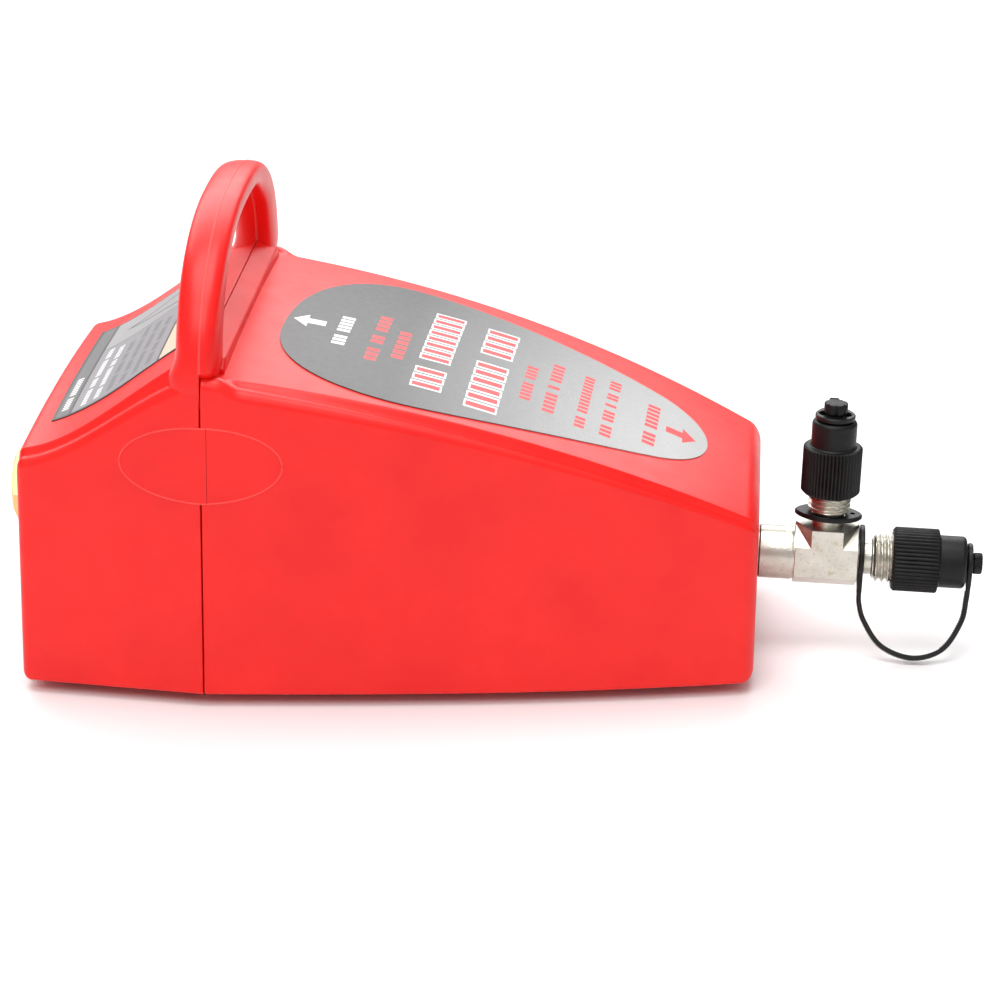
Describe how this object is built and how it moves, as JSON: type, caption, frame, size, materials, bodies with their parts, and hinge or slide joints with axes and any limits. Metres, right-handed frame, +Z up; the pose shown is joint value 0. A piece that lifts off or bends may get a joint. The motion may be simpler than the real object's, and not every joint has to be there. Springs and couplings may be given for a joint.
{
  "type": "air-operated vacuum pump",
  "caption": "Red plastic air-operated vacuum pump with a carry handle, a rear air inlet and a front tee with two capped, tethered suction ports.",
  "frame": {"origin": "bottom centre of the whole object, on the surface that its four feet stand on", "axes": "+X from the rear air inlet towards the front suction tee, +Y to the left, +Z up"},
  "size_m": [0.2544, 0.12, 0.1212],
  "materials": {
    "red_plastic": "moulded ABS, semi-gloss with a fine even grain",
    "black_plastic": "moulded nylon, satin",
    "tether": "flexible moulded plastic, satin",
    "rubber": "matt rubber",
    "zinc_plate": "zinc plated steel, slightly yellow and mottled",
    "steel": "plated steel",
    "brass": "machined brass",
    "aluminium": "machined aluminium",
    "foam": "open-cell silencing foam",
    "foil_label": "printed foil, dark grey fading to silver",
    "paper_label": "printed sticker with plain blocks"
  },
  "bodies": {
    "root": {"rear_housing": "red_plastic", "front_housing": "red_plastic", "foot_rear_left": "rubber", "foot_rear_right": "rubber", "foot_front_left": "rubber", "foot_front_right": "rubber", "housing_screw_1": "steel", "housing_screw_2": "steel", "housing_screw_3": "steel", "housing_screw_4": "steel", "inlet_fitting": "brass", "inlet_washer": "steel", "inlet_nut": "brass", "ejector_block": "aluminium", "air_nozzle": "brass", "diffuser_tube": "aluminium", "silencer_can": "black_plastic", "silencer_foam": "foam", "silencer_strap": "steel", "strap_screw_left": "steel", "strap_screw_right": "steel", "suction_elbow": "brass", "suction_hose": "rubber", "hose_clamp_rear": "steel", "hose_clamp_front": "steel", "tee_fitting": "zinc_plate", "bulkhead_washer": "steel", "bulkhead_nut": "zinc_plate", "acme_tether_neck_eye": "tether", "acme_tether_strap": "tether", "flare_tether_neck_eye": "tether", "flare_tether_strap": "tether", "front_label": "foil_label", "rear_label": "paper_label"},
    "acme_carrier": {"acme_tether_cap_eye": "tether"},
    "acme_cap": {"acme_cap": "black_plastic", "acme_cap_seal": "rubber"},
    "flare_carrier": {"flare_tether_cap_eye": "tether"},
    "flare_cap": {"flare_cap": "black_plastic", "flare_cap_seal": "rubber"}
  },
  "joints": [
    {"name": "acme_cap_travel", "type": "slide", "parent": "root", "child": "acme_carrier", "axis": [0.9998, 0, -0.0218], "range_m": [0, 0.00635], "deforming": ["acme_tether_strap"]},
    {"name": "acme_cap_turn", "type": "hinge", "parent": "acme_carrier", "child": "acme_cap", "pos_m": [0.10353, 0, 0.02413], "axis": [0.9998, 0, -0.0218], "range_deg": [0, 1440]},
    {"name": "flare_cap_travel", "type": "slide", "parent": "root", "child": "flare_carrier", "axis": [0.0218, 0, 0.9998], "range_m": [0, 0.00635], "deforming": ["flare_tether_strap"]},
    {"name": "flare_cap_turn", "type": "hinge", "parent": "flare_carrier", "child": "flare_cap", "pos_m": [0.08666, 0, 0.042], "axis": [0.0218, 0, 0.9998], "range_deg": [0, 1800]}
  ],
  "couplings": [
    {"joint": "acme_cap_turn", "follows": "acme_cap_travel", "rad_per_m": 3957.9},
    {"joint": "flare_cap_turn", "follows": "flare_cap_travel", "rad_per_m": 4947.3}
  ]
}
